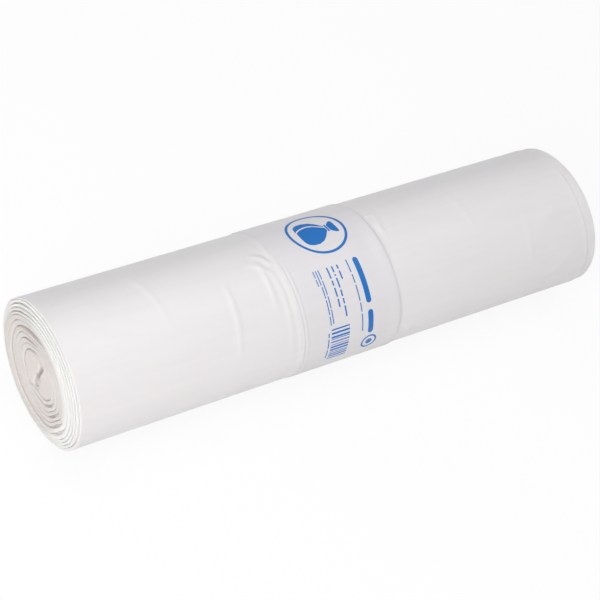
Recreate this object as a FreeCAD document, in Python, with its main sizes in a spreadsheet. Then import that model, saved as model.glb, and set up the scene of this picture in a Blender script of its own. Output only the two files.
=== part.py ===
import FreeCAD, Part
import math
import os

import Sketcher

# Bin bag roll, lying on the flat spot that its own weight presses into it.
# X runs along the roll, Z is up, and the origin is under the middle of the roll.
# Lengths are in millimetres, angles in degrees. Angles in the section are counted
# from +Y (the back) upwards over +Z (the top).

sizes = {
    "RollLength": (287.5, "length of the roll, a 575 mm bag folded once lengthwise"),
    "SectionWidth": (73.6, "width of the settled oval section"),
    "SectionHeight": (63.5, "height of the oval before the flat spot"),
    "FlatWidth": (14.0, "width of the flat spot under the roll"),
    "TailLip": (0.45, "thickness of the last bag's free edge"),
    "TailAngle": (-28.0, "where that edge lies, on the back and below the middle"),
    "TightThickness": (1.1, "one of the firm outer turns"),
    "TightGap": (0.2, "air between two firm turns"),
    "TightTurns": (4.0, "number of firm turns"),
    "LooseThickness": (2.2, "one of the slack inner turns"),
    "LooseGap": (0.2, "air between two slack turns"),
    "FanAngle": (50.0, "side on which the firm turns fan out"),
    "FanSpread": (44.0, "half of the angle over which they do"),
    "FanGap": (0.42, "widest air between the fanned turns"),
    "SlackAngle": (66.0, "side on which the inner turns have dropped away"),
    "SlackSpread": (50.0, "half of the angle over which they have dropped"),
    "SlackGap": (3.1, "widest air over the turns that dropped"),
    "DropAngle": (50.0, "side on which single turns inside them have dropped too"),
    "DropSpread": (34.0, "half of the angle over which each of those has dropped"),
    "DropGap": (0.9, "widest air over such a turn"),
    "FoldAngle": (208.0, "side on which the turns are bent sharply"),
    "FoldSpread": (28.0, "half of the angle that such a bend takes"),
    "FoldGap": (1.1, "widest air in a bend"),
    "FoldPinch": (0.25, "how much thinner each slack turn is pressed around its bend"),
    "FoldReach": (56.0, "half of the angle over which it is"),
    "SagAngle": (248.0, "side on which one of the last turns hangs off the middle"),
    "SagSpread": (46.0, "half of the angle over which it hangs"),
    "SagGap": (1.1, "widest air inside that turn"),
    "CoreWidth": (22.0, "width of the middle, where the turns end"),
    "CoreHeight": (19.2, "height of the middle"),
    "CoreSlit": (1.5, "width of the slit across the collapsed middle"),
    "CoreSpan": (14.2, "distance between the two ends of that slit"),
    "CoreAngle": (96.0, "direction of the slit from end to end"),
    "CoreTurn": (40.0, "how far each half of the slit bends"),
    "NearSetback": (2.6, "how far the near rim stands behind the near end"),
    "NearSlope": (7.4, "width of the sloped edge at the near end"),
    "RecessDepth": (0.8, "how far the slack turns stand back inside the firm ones at the near end"),
    "RecessRing": (9.0, "width of the ring of firm turns round that recess"),
    "RecessSlope": (2.4, "width of the sloped edge of the recess"),
    "FarSetback": (1.0, "how far the far rim stands in from the far end"),
    "FarSlope": (1.6, "width of the sloped edge at the far end"),
    "FarStep": (5.2, "how far the outermost turn ends short of the far end"),
    "BandWidth": (54.5, "width of the paper-thin label band"),
    "BandCentre": (-1.8, "middle of the band along the roll"),
    "BandThickness": (0.15, "thickness of the band"),
    "BandEase": (0.05, "air between the roll and the band where the roll is round"),
    "BandLap": (11.0, "length of the band's glued lap"),
    "LapAngle": (-31.0, "where the lap lies, on the back and below the middle"),
}

arcs_per_turn = 16
pressed_turns = 3
dropped_turns = (4, 6)
folded_turns = (0, 1, 3, 5)
overshoot = 1.0


def make_sheet(doc):
    """Writes the driving sizes, one to a row, each with its alias."""
    sheet = doc.addObject("Spreadsheet::Sheet", "Sizes")
    for row, (alias, (value, note)) in enumerate(sizes.items(), start=1):
        sheet.set(f"A{row}", alias)
        sheet.set(f"B{row}", str(value))
        sheet.set(f"C{row}", note)
        sheet.setAlias(f"B{row}", alias)
    return sheet


class Section:
    """The oval section: four arcs that meet where their normals stand at 45 degrees."""

    def __init__(self, sheet):
        self.half_width = sheet.SectionWidth / 2
        self.half_height = sheet.SectionHeight / 2
        spread = (self.half_width - self.half_height) / (2 - math.sqrt(2))
        self.side_radius = self.half_width - spread
        self.top_radius = self.half_height + spread
        self.side_centre = spread
        self.bottom_centre = math.sqrt(self.top_radius ** 2 - sheet.FlatWidth ** 2 / 4)
        self.middle = self.bottom_centre - spread
        self.top_centre = self.middle - spread


side_offset = "(Sizes.SectionWidth - Sizes.SectionHeight) / (4 - 2 * sqrt(2))"
side_radius = f"Sizes.SectionWidth / 2 - {side_offset}"
top_radius = f"Sizes.SectionHeight / 2 + {side_offset}"
bottom_centre = f"sqrt(({top_radius}) ^ 2 - Sizes.FlatWidth ^ 2 / 4)"


def plane(body, role):
    """One of the body's own origin planes."""
    return next(item for item in body.Origin.OriginFeatures if item.Role == role)


def new_sketch(body, name, role):
    """An empty sketch on one of the body's origin planes."""
    sketch = body.newObject("Sketcher::SketchObject", name)
    sketch.AttachmentSupport = [(plane(body, role), "")]
    sketch.MapMode = "FlatFace"
    return sketch


def arc(centre, radius, start, end):
    """An arc of a sketch, with its angles in degrees."""
    circle = Part.Circle(FreeCAD.Vector(*centre, 0), FreeCAD.Vector(0, 0, 1), radius)
    return Part.ArcOfCircle(circle, math.radians(start), math.radians(end))


def bind(sketch, kind, arguments, name, formula):
    """Adds a named constraint whose value comes from the sheet."""
    index = sketch.addConstraint(Sketcher.Constraint(kind, *arguments))
    sketch.renameConstraint(index, name)
    sketch.setExpression(f"Constraints.{name}", formula)


def add_oval(sketch, section, name, grow, floor, grow_formula, floor_formula):
    """Draws the oval, grown outwards all round and cut flat at a height above the ground."""
    side, top = section.side_radius + grow, section.top_radius + grow
    low = section.bottom_centre
    half_flat = math.sqrt(top ** 2 - (low - floor) ** 2)
    corner = math.degrees(math.atan2(low - floor, half_flat))
    geometry = [
        arc((0, section.top_centre), top, 45, 135),
        arc((section.side_centre, section.middle), side, -45, 45),
        arc((-section.side_centre, section.middle), side, 135, 225),
        arc((0, low), top, -corner, -45),
        arc((0, low), top, 225, 180 + corner),
        Part.LineSegment(FreeCAD.Vector(-half_flat, floor, 0), FreeCAD.Vector(half_flat, floor, 0)),
    ]
    upper, back, front, low_back, low_front, flat = sketch.addGeometry(geometry, False)
    start, end, centre = 1, 2, 3
    origin = (-1, 1)
    upright = -2
    for joint in (
        (upper, start, back, end),
        (upper, end, front, start),
        (back, start, low_back, end),
        (front, end, low_front, start),
    ):
        sketch.addConstraint(Sketcher.Constraint("Tangent", *joint))
    for link in (
        (low_front, end, flat, start),
        (low_back, start, flat, end),
        (low_front, centre, low_back, centre),
    ):
        sketch.addConstraint(Sketcher.Constraint("Coincident", *link))
    sketch.addConstraint(Sketcher.Constraint("PointOnObject", upper, centre, upright))
    sketch.addConstraint(Sketcher.Constraint("PointOnObject", low_back, centre, upright))
    sketch.addConstraint(Sketcher.Constraint("Symmetric", back, centre, front, centre, upright))
    sketch.addConstraint(Sketcher.Constraint("Equal", upper, low_back))
    sketch.addConstraint(Sketcher.Constraint("Horizontal", flat))
    if floor:
        bind(sketch, "DistanceY", (*origin, flat, start, floor), name + "Floor", floor_formula)
    else:
        sketch.addConstraint(Sketcher.Constraint("PointOnObject", flat, start, -1))
    across = (front, centre, back, centre, 2 * section.side_centre)
    bind(sketch, "DistanceX", across, name + "Across", f"2 * {side_offset}")
    bind(sketch, "DistanceY", (*origin, low_back, centre, low), name + "Rise", bottom_centre)
    bind(sketch, "Radius", (back, side), name + "Side", f"{side_radius} + {grow_formula}")
    bind(sketch, "Radius", (upper, top), name + "Top", f"{top_radius} + {grow_formula}")


def rise(value, low, high):
    """Goes smoothly from 0 at low to 1 at high."""
    share = min(max((value - low) / (high - low), 0.0), 1.0)
    return share * share * (3 - 2 * share)


def hump(off):
    """A rounded swell, 1 at its middle and 0 from its two ends on."""
    return (1 + math.cos(math.pi * min(abs(off), 1.0))) / 2


class Winding:
    """Depth of the turns under the oval, by the number of turns counted from the free edge."""

    def __init__(self, sheet, section):
        self.sheet = sheet
        self.section = section
        tight = sheet.TightThickness + sheet.TightGap
        loose = sheet.LooseThickness + sheet.LooseGap
        room = section.half_height - sheet.CoreHeight / 2 - sheet.TailLip
        self.turns = sheet.TightTurns + (room - sheet.TightTurns * tight) / loose
        self.squash = (section.half_width - sheet.CoreWidth / 2) / (section.half_height - sheet.CoreHeight / 2)
        first = math.ceil(sheet.TightTurns)
        last = math.floor(self.turns - self.share(sheet.SagAngle))
        fan = (sheet.FanAngle, sheet.FanSpread, sheet.FanGap)
        slack = (sheet.SlackAngle, sheet.SlackSpread, sheet.SlackGap)
        drop = (sheet.DropAngle, sheet.DropSpread, sheet.DropGap)
        fold = (sheet.FoldAngle, sheet.FoldSpread, sheet.FoldGap)
        sag = (sheet.SagAngle, sheet.SagSpread, sheet.SagGap)
        self.openings = [(whole, *fan) for whole in range(1, first)]
        self.openings += [(first + 2, *slack), (last - 1, *sag)]
        self.openings += [(first + n, *drop) for n in dropped_turns]
        self.openings += [(first + n, *fold) for n in folded_turns]

    def share(self, angle):
        """Share of a turn between the free edge and an angle."""
        return (angle - self.sheet.TailAngle) / 360

    def looseness(self, turn):
        """0 in the firm turns, 1 in the slack ones."""
        return rise(turn, self.sheet.TightTurns, self.sheet.TightTurns + 1)

    def thickness(self, turn):
        """Thickness of a turn, pressed thinner under the air of the turns around it and at its bend."""
        tight, loose = self.sheet.TightThickness, self.sheet.LooseThickness
        full = tight + (loose - tight) * self.looseness(turn)
        pressed = sum(self.swell(turn - n) for n in range(1, pressed_turns + 1)) / pressed_turns
        around = (turn - self.share(self.sheet.FoldAngle) + 0.5) % 1 - 0.5
        pinch = self.sheet.FoldPinch * hump(around * 360 / self.sheet.FoldReach)
        return full - pressed - pinch * self.looseness(turn)

    def swell(self, turn):
        """Extra air under a turn in each place where the turns part."""
        extra = 0
        for whole, angle, spread, height in self.openings:
            extra += height * hump((turn - whole - self.share(angle)) * 360 / spread)
        return extra

    def gap(self, turn):
        """Air under a turn."""
        tight, loose = self.sheet.TightGap, self.sheet.LooseGap
        return tight + (loose - tight) * self.looseness(turn) + self.swell(turn)

    def underside(self, turn):
        """Depth of the underside of a turn."""
        if turn < 1:
            return self.sheet.TailLip + turn * (self.thickness(1) + self.gap(0))
        return self.upper_side(turn - 1) + self.thickness(turn)

    def upper_side(self, turn):
        """Depth of the film that lies under a turn."""
        return self.underside(turn) + self.gap(turn)

    def point(self, turn, depth):
        """Place in the section at a depth under the oval's top, and a little more at its sides."""
        angle = math.radians(self.sheet.TailAngle + 360 * turn)
        y = (self.section.half_width - depth * self.squash) * math.cos(angle)
        z = self.section.middle + (self.section.half_height - depth) * math.sin(angle)
        return FreeCAD.Vector(0, y, z)


def bow(a, middle, b):
    """An arc through three points."""
    return Part.Arc(a, middle, b).toShape()


def side_of_gap(winding, depth):
    """Arcs along one side of the air between the turns, from the free edge to the middle."""
    count = math.ceil(winding.turns * arcs_per_turn)
    turns = [winding.turns * n / (2 * count) for n in range(2 * count + 1)]
    points = [winding.point(turn, depth(turn)) for turn in turns]
    return [bow(*points[n:n + 3]) for n in range(0, 2 * count, 2)]


def gap_face(winding):
    """Section of the air between the turns: in under the free edge and round to the middle."""
    under = side_of_gap(winding, winding.underside)
    upper = side_of_gap(winding, winding.upper_side)
    mouth = -winding.sheet.TightGap / (2 * math.pi * winding.section.half_width)
    outline = [
        under[0].Vertexes[0].Point,
        winding.point(0, -overshoot),
        winding.point(mouth, -overshoot),
        winding.point(mouth, winding.upper_side(0)),
        upper[0].Vertexes[0].Point,
    ]
    edges = [Part.LineSegment(a, b).toShape() for a, b in zip(outline, outline[1:])]
    end = Part.LineSegment(upper[-1].Vertexes[-1].Point, under[-1].Vertexes[-1].Point).toShape()
    return Part.Face(Part.Wire([*edges, *upper, end, *under[::-1]]))


def core_face(winding):
    """Section of the slit across the collapsed middle, bent like an S with round ends."""
    sheet = winding.sheet
    half = sheet.CoreSlit / 2
    turn = sheet.CoreTurn
    bend = sheet.CoreSpan / (4 * math.sin(math.radians(turn / 2)))
    heading = math.radians(sheet.CoreAngle + turn / 2)
    centre = FreeCAD.Vector(0, 0, winding.section.middle)
    along = FreeCAD.Vector(0, math.cos(heading), math.sin(heading))
    across = along.cross(FreeCAD.Vector(1, 0, 0))

    def place(side, radius, turned):
        """A point on the arc on one side of the middle, turned from where the arcs meet."""
        angle = math.radians(turned)
        return centre + across * side * (bend - radius * math.cos(angle)) + along * side * radius * math.sin(angle)

    def half_outline(side):
        """The two long sides and the round end of one half of the S."""
        outer, inner = bend + half, bend - half
        tip = place(side, bend, turn + math.degrees(half / bend))
        return [
            bow(place(side, outer, 0), place(side, outer, turn / 2), place(side, outer, turn)),
            bow(place(side, outer, turn), tip, place(side, inner, turn)),
            bow(place(side, inner, turn), place(side, inner, turn / 2), place(side, inner, 0)),
        ]

    return Part.Face(Part.Wire(half_outline(1) + half_outline(-1)))


def step_face(winding):
    """Section outside the middle of the air under the first turn, as far as a frame round the roll."""
    turns = [n / (2 * arcs_per_turn) for n in range(2 * arcs_per_turn + 1)]
    points = [winding.point(turn, winding.underside(turn) + winding.gap(turn) / 2) for turn in turns]
    spiral = [bow(*points[n:n + 3]) for n in range(0, 2 * arcs_per_turn, 2)]
    spiral.append(Part.LineSegment(points[-1], points[0]).toShape())
    half = winding.section.half_width + overshoot
    top = winding.section.middle + half
    corners = [(-half, -overshoot), (half, -overshoot), (half, top), (-half, top), (-half, -overshoot)]
    rim = Part.makePolygon([FreeCAD.Vector(0, y, z) for y, z in corners])
    return Part.Face(rim).cut(Part.Face(Part.Wire(spiral)))


def add_end(body, section, outline, name, slope, slope_size, place):
    """Slopes one end: a ruled loft from the outline to a smaller oval in the plane of that end."""
    face = new_sketch(body, name + "Face", "YZ_Plane")
    add_oval(face, section, name, -slope, slope, f"-{slope_size}", slope_size)
    face.setExpression(".AttachmentOffset.Base.z", place)
    loft = body.newObject("PartDesign::AdditiveLoft", name + "Slope")
    loft.Profile = outline
    loft.Sections = [face]
    loft.Ruled = True
    return loft


def make_blank(doc, sheet, section):
    """The settled oval block that the film fills, with its ends sloped back to their rims."""
    body = doc.addObject("PartDesign::Body", "RollBlank")
    near = new_sketch(body, "RollOutline", "YZ_Plane")
    add_oval(near, section, "Roll", 0, 0, "0", "0")
    near.setExpression(".AttachmentOffset.Base.z", "Sizes.NearSetback - Sizes.RollLength / 2")
    pad = body.newObject("PartDesign::Pad", "RollPad")
    pad.Profile = near
    pad.setExpression("Length", "Sizes.RollLength - Sizes.NearSetback - Sizes.FarSetback")
    add_end(body, section, near, "Near", sheet.NearSlope, "Sizes.NearSlope", "-Sizes.RollLength / 2")

    far = new_sketch(body, "FarOutline", "YZ_Plane")
    add_oval(far, section, "FarRim", 0, 0, "0", "0")
    far.setExpression(".AttachmentOffset.Base.z", "Sizes.RollLength / 2 - Sizes.FarSetback")
    add_end(body, section, far, "Far", sheet.FarSlope, "Sizes.FarSlope", "Sizes.RollLength / 2")
    add_recess(body, section, sheet)
    body.Tip = add_band_seat(body, sheet)
    return body


def add_recess(body, section, sheet):
    """Lets the slack turns stand back at the near end: a ruled loft cut in between two ovals."""
    ring, bottom = sheet.RecessRing, sheet.RecessRing + sheet.RecessSlope
    mouth = new_sketch(body, "RecessMouth", "YZ_Plane")
    add_oval(mouth, section, "Mouth", -ring, ring, "-Sizes.RecessRing", "Sizes.RecessRing")
    mouth.setExpression(".AttachmentOffset.Base.z", "-Sizes.RollLength / 2")
    floor = new_sketch(body, "RecessFloor", "YZ_Plane")
    inset = "(Sizes.RecessRing + Sizes.RecessSlope)"
    add_oval(floor, section, "Floor", -bottom, bottom, f"-{inset}", inset)
    floor.setExpression(".AttachmentOffset.Base.z", "Sizes.RecessDepth - Sizes.RollLength / 2")
    recess = body.newObject("PartDesign::SubtractiveLoft", "NearRecess")
    recess.Profile = mouth
    recess.Sections = [floor]
    recess.Ruled = True


def add_band_seat(body, sheet):
    """Presses the flat spot up by the band's thickness along the stretch that lies on the band."""
    sketch = new_sketch(body, "BandSeatOutline", "XY_Plane")
    half_length, half_width = sheet.BandWidth / 2, sheet.SectionWidth / 2
    signs = [(-1, -1), (1, -1), (1, 1), (-1, 1)]
    points = [FreeCAD.Vector(along * half_length, across * half_width, 0) for along, across in signs]
    lines = [Part.LineSegment(a, b) for a, b in zip(points, points[1:] + points[:1])]
    front, right_side, back, left_side = sketch.addGeometry(lines, False)
    for a, b in ((front, right_side), (right_side, back), (back, left_side), (left_side, front)):
        sketch.addConstraint(Sketcher.Constraint("Coincident", a, 2, b, 1))
    sketch.addConstraint(Sketcher.Constraint("Symmetric", front, 1, front, 2, -2))
    sketch.addConstraint(Sketcher.Constraint("Symmetric", right_side, 1, right_side, 2, -1))
    sketch.addConstraint(Sketcher.Constraint("Horizontal", back))
    sketch.addConstraint(Sketcher.Constraint("Vertical", left_side))
    bind(sketch, "DistanceX", (front, 1, front, 2, 2 * half_length), "SeatLength", "Sizes.BandWidth")
    bind(sketch, "DistanceY", (right_side, 1, right_side, 2, 2 * half_width), "SeatWidth", "Sizes.SectionWidth")
    sketch.setExpression(".AttachmentOffset.Base.x", "Sizes.BandCentre")
    seat = body.newObject("PartDesign::Pocket", "BandSeat")
    seat.Profile = sketch
    seat.Reversed = True
    seat.setExpression("Length", "Sizes.BandThickness")
    return seat


def make_bag_roll(doc, sheet, section):
    """The wound film: the block with the air between its turns cut through it."""
    body = make_blank(doc, sheet, section)
    winding = Winding(sheet, section)
    air = doc.addObject("Part::Feature", "WindingGap")
    air.Shape = Part.makeCompound([gap_face(winding), core_face(winding)])
    winding_cut = add_extrusion(doc, "WindingCut", air, "Sizes.RollLength + 2")
    winding_cut.Symmetric = True
    around = doc.addObject("Part::Feature", "FirstTurnSurround")
    around.Shape = step_face(winding)
    around.setExpression(".Placement.Base.x", "Sizes.RollLength / 2 - Sizes.FarStep")
    step_cut = add_extrusion(doc, "FarStepCut", around, "Sizes.FarStep + 1")
    stepped = add_cut(doc, "SteppedBlank", body, step_cut)
    roll = add_cut(doc, "BagRoll", stepped, winding_cut)
    roll.Label = "bag_roll"
    return roll


def add_extrusion(doc, name, base, length):
    """Extends a section along the roll."""
    extrusion = doc.addObject("Part::Extrusion", name)
    extrusion.Base = base
    extrusion.DirMode = "Custom"
    extrusion.Dir = FreeCAD.Vector(1, 0, 0)
    extrusion.setExpression("LengthFwd", length)
    extrusion.Solid = True
    return extrusion


def add_cut(doc, name, base, tool):
    """What is left of one object when another is taken away."""
    cut = doc.addObject("Part::Cut", name)
    cut.Base = base
    cut.Tool = tool
    return cut


def add_lap(body, sheet, section):
    """The band's glued lap: a second layer over part of the back, below the middle."""
    sketch = new_sketch(body, "LapOutline", "YZ_Plane")
    low = section.side_radius + sheet.BandEase + sheet.BandThickness
    high = low + sheet.BandThickness
    half = math.degrees(sheet.BandLap / low / 2)
    centre = (section.side_centre, section.middle)
    arcs = [arc(centre, radius, sheet.LapAngle - half, sheet.LapAngle + half) for radius in (low, high)]
    steps = [Part.LineSegment(getattr(arcs[0], end), getattr(arcs[1], end)) for end in ("StartPoint", "EndPoint")]
    inner, outer, first, last = sketch.addGeometry(arcs + steps, False)
    for link in (
        (inner, 1, first, 1),
        (outer, 1, first, 2),
        (inner, 2, last, 1),
        (outer, 2, last, 2),
        (inner, 3, outer, 3),
    ):
        sketch.addConstraint(Sketcher.Constraint("Coincident", *link))
    for step in (first, last):
        sketch.addConstraint(Sketcher.Constraint("PointOnObject", inner, 3, step))
    lap_radius = f"{side_radius} + Sizes.BandEase + Sizes.BandThickness"
    bind(sketch, "Radius", (inner, low), "LapInside", lap_radius)
    bind(sketch, "Radius", (outer, high), "LapOutside", f"{lap_radius} + Sizes.BandThickness")
    bind(sketch, "DistanceX", (-1, 1, inner, 3, centre[0]), "LapAcross", side_offset)
    bind(sketch, "DistanceY", (-1, 1, inner, 3, centre[1]), "LapRise", f"{bottom_centre} - {side_offset}")
    half_lap = f"Sizes.BandLap / ({lap_radius}) / 2 * 180 / pi"
    for step, name, sign in ((first, "LapStart", "-"), (last, "LapEnd", "+")):
        value = math.radians(sheet.LapAngle + (half if sign == "+" else -half))
        bind(sketch, "Angle", (step, value), name, f"(Sizes.LapAngle {sign} {half_lap}) * 1 deg")
    return sketch


def add_band_pad(body, sketch, name):
    """Pads a section of the band over the band's width."""
    sketch.setExpression(".AttachmentOffset.Base.z", "Sizes.BandCentre")
    pad = body.newObject("PartDesign::Pad", name)
    pad.Profile = sketch
    pad.Midplane = True
    pad.setExpression("Length", "Sizes.BandWidth")
    return pad


def make_label_band(doc, sheet, section):
    """The label band: a strip wrapped once round the roll, which presses it flat underneath."""
    body = doc.addObject("PartDesign::Body", "LabelBand")
    body.Label = "label_band"
    ring = new_sketch(body, "BandOutline", "YZ_Plane")
    inside, thick = sheet.BandEase, sheet.BandThickness
    add_oval(ring, section, "Inside", inside, thick, "Sizes.BandEase", "Sizes.BandThickness")
    add_oval(ring, section, "Outside", inside + thick, 0, "Sizes.BandEase + Sizes.BandThickness", "0")
    add_band_pad(body, ring, "BandPad")
    body.Tip = add_band_pad(body, add_lap(body, sheet, section), "LapPad")
    return body


def check(doc, parts):
    """Stops the build where an object failed or a piece isn't one valid solid."""
    for item in doc.Objects:
        if "Invalid" in item.State or "Error" in item.State:
            raise RuntimeError(f"{item.Name} failed: {item.State}")
    for part in parts:
        shape = part.Shape
        if shape.isNull() or not shape.isValid() or len(shape.Solids) != 1:
            raise RuntimeError(f"{part.Label} isn't one valid solid")
        print(part.Label, "volume", round(shape.Volume), "mm3, faces", len(shape.Faces))


def main():
    doc = FreeCAD.newDocument("bin_bag_roll")
    sheet = make_sheet(doc)
    doc.recompute()
    section = Section(sheet)
    parts = [make_bag_roll(doc, sheet, section), make_label_band(doc, sheet, section)]
    doc.recompute()
    check(doc, parts)
    os.makedirs("parts", exist_ok=True)
    for part in parts:
        part.Shape.exportStep(f"parts/{part.Label}.step")


if __name__ == "__main__":
    main()
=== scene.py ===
import math

import bpy
import numpy as np
from mathutils import Matrix, Vector


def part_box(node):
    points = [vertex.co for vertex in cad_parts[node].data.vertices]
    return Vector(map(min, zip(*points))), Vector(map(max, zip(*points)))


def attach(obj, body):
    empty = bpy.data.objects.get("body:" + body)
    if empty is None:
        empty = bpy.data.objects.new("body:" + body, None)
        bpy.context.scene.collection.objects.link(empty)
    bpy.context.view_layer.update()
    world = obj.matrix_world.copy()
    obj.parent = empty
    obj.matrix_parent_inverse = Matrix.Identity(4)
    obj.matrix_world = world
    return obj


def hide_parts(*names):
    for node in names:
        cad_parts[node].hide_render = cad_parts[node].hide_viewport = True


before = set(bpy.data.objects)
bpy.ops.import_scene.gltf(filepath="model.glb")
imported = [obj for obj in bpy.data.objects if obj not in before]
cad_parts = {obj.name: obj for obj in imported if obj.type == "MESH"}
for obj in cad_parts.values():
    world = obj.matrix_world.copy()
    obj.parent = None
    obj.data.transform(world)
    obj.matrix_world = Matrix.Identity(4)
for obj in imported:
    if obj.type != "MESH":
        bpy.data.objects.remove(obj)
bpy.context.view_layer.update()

rollLow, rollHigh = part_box("bag_roll")
bandLow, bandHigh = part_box("label_band")
mm = 0.001
print("bin bag roll: frame loaded, roll", round(rollHigh.x - rollLow.x, 4), "m long")


# The settled oval section. Directions are counted from +Y (the back) upwards over +Z.
section = dict(
    halfWidth=rollHigh.y,
    halfHeight=31.75 * mm,      # before the flat spot is pressed in
    flatWidth=14.0 * mm,
    leastDip=0.1,               # a ray whose slope has a smaller sine leaves the oval above the floor
    outlineSteps=2880,
)


# four arcs that meet where their normals stand at 45 degrees: for s = (halfWidth - halfHeight) / (2 - sqrt 2)
# the side arcs have radius halfWidth - s about (+-s, 0), and the upper and lower arcs have radius
# halfHeight + s about (0, -+s)
def settledOval():
    spread = (section["halfWidth"] - section["halfHeight"]) / (2 - math.sqrt(2))
    top = section["halfHeight"] + spread
    middle = math.sqrt(top ** 2 - section["flatWidth"] ** 2 / 4) - spread
    return spread, section["halfWidth"] - spread, top, middle


ovalSpread, ovalSide, ovalTop, ovalMiddle = settledOval()


# reach of a ray from the oval's middle to the arc that it meets, cut off where it meets the floor's height
def ovalReach(direction, grow=0.0, floorHeight=0.0):
    across, upwards = np.abs(np.cos(direction)), np.abs(np.sin(direction))
    side, top = ovalSide + grow, ovalTop + grow
    sideReach = ovalSpread * across + np.sqrt(side ** 2 - (ovalSpread * upwards) ** 2)
    topReach = -ovalSpread * upwards + np.sqrt(top ** 2 - (ovalSpread * across) ** 2)
    corner = side / math.sqrt(2)
    reach = np.where(upwards * (ovalSpread + corner) <= across * corner, sideReach, topReach)
    dip = -np.sin(direction)
    toFloor = (ovalMiddle - floorHeight) / np.maximum(dip, section["leastDip"])
    return np.where(dip > section["leastDip"], np.minimum(reach, toFloor), reach)


# run of the outline from its top towards the front: the summed chords of many short steps
girthDirection = np.radians(np.linspace(-90, 270, section["outlineSteps"] + 1))
girthRay = np.stack([np.cos(girthDirection), np.sin(girthDirection)], 1)
girthStep = np.linalg.norm(np.diff(ovalReach(girthDirection)[:, None] * girthRay, axis=0), axis=1)
girthRun = np.concatenate([[0], np.cumsum(girthStep)])
girthRun -= np.interp(math.pi / 2, girthDirection, girthRun)


def runAt(direction):
    # girthwise run of a direction, from the top towards the front
    wrapped = np.mod(direction + math.pi / 2, 2 * math.pi) - math.pi / 2
    return np.interp(wrapped, girthDirection, girthRun)


def directionAt(run):
    return np.interp(run, girthRun, girthDirection)


def smoothStep(value, low, high):
    share = np.clip((value - low) / (high - low), 0, 1)
    return share * share * (3 - 2 * share)


def plateau(value, start, full, fall, end):
    # 0 before the start and after the end, 1 from full to fall, smooth in between
    return smoothStep(value, start, full) * (1 - smoothStep(value, fall, end))


def hump(value, centre, spread):
    # a rounded swell, 1 at its centre and 0 from its spread on
    return (1 + np.cos(np.pi * np.clip((value - centre) / spread, -1, 1))) / 2


def waves(value, seed, count, longest, fall=0.8):
    # a sum of sines with falling heights and lengths, about 1 at most
    dice = np.random.default_rng(seed)
    total = np.zeros_like(value)
    for n in range(1, count + 1):
        total = total + np.sin(2 * np.pi * value * n / longest + dice.uniform(0, 2 * np.pi)) / n ** fall
    return total / sum(1 / n ** fall for n in range(1, count + 1))


def raisedWaves(value, seed, count, longest):
    # the same waves, lifted to run from about 0 to 1
    return 0.5 + 0.5 * waves(value, seed, count, longest)


def gridFaces(rows, columns, closedRows=False, closedColumns=False, flip=False):
    # four-cornered faces between neighbouring points of a grid, joined round where a side is closed
    i = np.arange(rows if closedRows else rows - 1)[:, None]
    j = np.arange(columns if closedColumns else columns - 1)[None, :]
    nextI, nextJ = (i + 1) % rows, (j + 1) % columns
    corners = np.stack(np.broadcast_arrays(i * columns + j, nextI * columns + j, nextI * columns + nextJ,
                                           i * columns + nextJ), -1).reshape(-1, 4)
    return corners[:, ::-1] if flip else corners


def addPiece(name, points, faces, material, uv, sharp=None):
    # a mesh object from whole arrays, smooth, riding on the frame's one body
    mesh = bpy.data.meshes.new(name)
    mesh.vertices.add(len(points))
    mesh.vertices.foreach_set("co", np.asarray(points, np.float32).ravel())
    mesh.loops.add(faces.size)
    mesh.loops.foreach_set("vertex_index", faces.astype(np.int32).ravel())
    mesh.polygons.add(len(faces))
    mesh.polygons.foreach_set("loop_start", np.arange(0, faces.size, 4, dtype=np.int32))
    mesh.update(calc_edges=True)
    mesh.shade_smooth()
    layer = mesh.uv_layers.new(name="filmRun")
    layer.data.foreach_set("uv", np.asarray(uv, np.float32)[faces.ravel()].ravel())
    if sharp:
        mesh.set_sharp_from_angle(angle=math.radians(sharp))
    mesh.materials.append(material)
    piece = bpy.data.objects.new(name, mesh)
    bpy.context.scene.collection.objects.link(piece)
    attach(piece, "root")
    return piece


# The winding. A turn is counted from the last bag's free edge; its depths lie under the oval's top.
winding = dict(
    tailLip=0.45 * mm,
    tailDirection=-28,
    tightThickness=1.1 * mm,
    tightGap=0.2 * mm,
    tightTurns=4.0,
    looseThickness=2.2 * mm,
    looseGap=0.2 * mm,
    fan=(50, 44, 0.42 * mm),        # where turns part: direction, half spread and widest air
    slack=(66, 50, 3.1 * mm),
    drop=(50, 34, 0.9 * mm),
    fold=(208, 28, 1.1 * mm),
    sag=(248, 46, 1.1 * mm),
    slackTurn=2,                    # counted from the last firm turn, as are the next two rows
    droppedTurns=(4, 6),
    foldedTurns=(0, 1, 3, 5),
    sagTurn=1,                      # counted back from the last turn that the sag's direction meets
    foldPinch=0.25 * mm,
    foldReach=56,
    pressedTurns=3,
    coreWidth=22.0 * mm,
    coreHeight=19.2 * mm,
    stepsPerTurn=144,
)


def loosenessAt(turn):
    # 0 in the firm turns, 1 in the slack ones
    return smoothStep(turn, winding["tightTurns"], winding["tightTurns"] + 1)


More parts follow.
